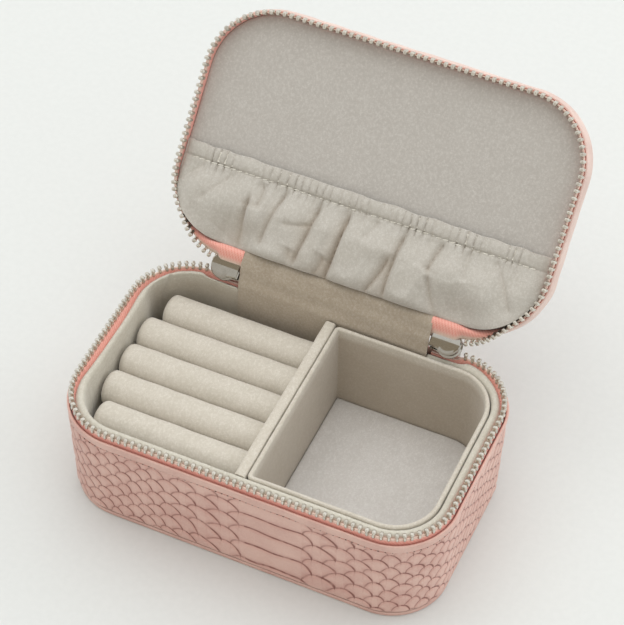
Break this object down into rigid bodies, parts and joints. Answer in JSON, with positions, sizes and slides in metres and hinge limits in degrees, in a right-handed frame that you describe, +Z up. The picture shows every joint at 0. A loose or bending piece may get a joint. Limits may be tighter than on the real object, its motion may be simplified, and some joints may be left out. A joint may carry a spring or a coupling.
{
  "type": "travel jewelry case",
  "caption": "Zip-round travel jewelry case, rigid wrapped walls, ring rolls, a loose tray, and a hinged lid with a gathered pocket, shown standing open.",
  "frame": {"origin": "centre of the underside of the base, on the surface that the case stands on", "axes": "+Z up, +X to the right along the hinge, +Y from the front towards the hinge"},
  "size_m": [0.1164, 0.1238, 0.0997],
  "materials": {
    "embossed_leather": "satin, snake-scale emboss",
    "edge_leather": "smooth satin",
    "zip_tape": "woven, matt",
    "nickel": "polished",
    "suede": "brushed, matt",
    "pale_suede": "brushed, matt",
    "pocket_cloth": "brushed, matt",
    "greyboard": "raw board",
    "foam": "open cell",
    "elastic": "woven, matt"
  },
  "bodies": {
    "base": {"bottom_panel": "embossed_leather", "base_wall_cover": "embossed_leather", "base_wall_board": "greyboard", "base_floor_board": "greyboard", "base_floor_lining": "suede", "base_lining_wall": "suede", "base_zip_tape": "zip_tape", "base_zip_teeth": "nickel", "ring_bed": "foam", "ring_roll_core_1": "foam", "ring_roll_core_2": "foam", "ring_roll_core_3": "foam", "ring_roll_core_4": "foam", "ring_roll_core_5": "foam", "ring_roll_sleeve_1": "pale_suede", "ring_roll_sleeve_2": "pale_suede", "ring_roll_sleeve_3": "pale_suede", "ring_roll_sleeve_4": "pale_suede", "ring_roll_sleeve_5": "pale_suede", "divider_board": "greyboard", "divider_cover": "suede", "tray_wall": "suede", "tray_floor": "suede", "hinge_lining": "suede", "spine_leather": "embossed_leather"},
    "lid": {"lid_wall_cover": "edge_leather", "lid_top_cover": "embossed_leather", "lid_top_board": "greyboard", "lid_wall_board": "greyboard", "lid_filler_foam": "foam", "lid_lining_panel": "suede", "lid_pocket": "pocket_cloth", "pocket_elastic": "elastic", "lid_zip_tape": "zip_tape", "lid_zip_teeth": "nickel"},
    "slider_right": {"slider_right": "nickel"},
    "slider_left": {"slider_left": "nickel"},
    "pull_right": {"slider_pull_right": "nickel"},
    "pull_left": {"slider_pull_left": "nickel"}
  },
  "joints": [
    {"name": "lid_hinge", "type": "hinge", "parent": "base", "child": "lid", "pos_m": [0, 0.036, 0.044], "axis": [1, 0, 0], "range_deg": [0, 133], "deforming": ["hinge_lining", "spine_leather"]},
    {"name": "slider_right_turn", "type": "hinge", "parent": "base", "child": "slider_right", "pos_m": [0.0339, 0.035, 0.03885], "axis": [1, 0, 0], "range_deg": [0, 60]},
    {"name": "slider_left_turn", "type": "hinge", "parent": "base", "child": "slider_left", "pos_m": [-0.0353, 0.035, 0.03885], "axis": [1, 0, 0], "range_deg": [0, 60]},
    {"name": "pull_right_swing", "type": "hinge", "parent": "slider_right", "child": "pull_right", "pos_m": [0.0339, 0.03585, 0.03657], "axis": [0, 0.866, 0.5], "range_deg": [-75, 75]},
    {"name": "pull_left_swing", "type": "hinge", "parent": "slider_left", "child": "pull_left", "pos_m": [-0.0353, 0.03585, 0.03657], "axis": [0, 0.866, 0.5], "range_deg": [-75, 75]}
  ],
  "couplings": [
    {"joint": "slider_right_turn", "follows": "lid_hinge", "ratio": 0.4511},
    {"joint": "slider_left_turn", "follows": "lid_hinge", "ratio": 0.4511}
  ]
}
